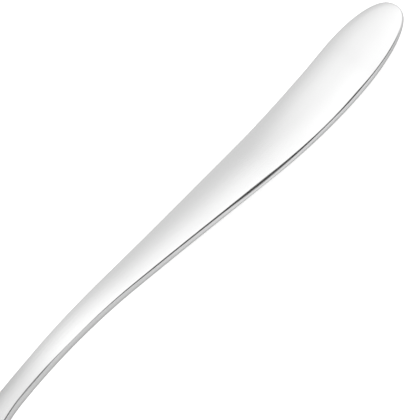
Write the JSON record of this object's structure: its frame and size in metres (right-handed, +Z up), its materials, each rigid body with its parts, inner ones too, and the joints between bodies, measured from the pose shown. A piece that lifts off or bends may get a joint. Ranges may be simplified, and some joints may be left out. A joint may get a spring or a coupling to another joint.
{
  "type": "soup ladle",
  "caption": "Polished steel soup ladle: a round bowl with a rounded rim and flat base, welded to a bent teardrop handle with a slim neck.",
  "frame": {"origin": "on the table under the middle of the ladle's length and width, as it lies at rest on its foot and the back of its grip", "axes": "+X from the bowl to the handle's tip, +Y to the left of the handle, +Z up"},
  "size_m": [0.2926, 0.096, 0.0841],
  "materials": {
    "polished_steel": "mirror polished",
    "weld_steel": "ground and polished weld"
  },
  "bodies": {
    "root": {"bowl": "polished_steel", "handle": "polished_steel", "spot_welds": "weld_steel", "weld_bead": "weld_steel"}
  },
  "joints": []
}
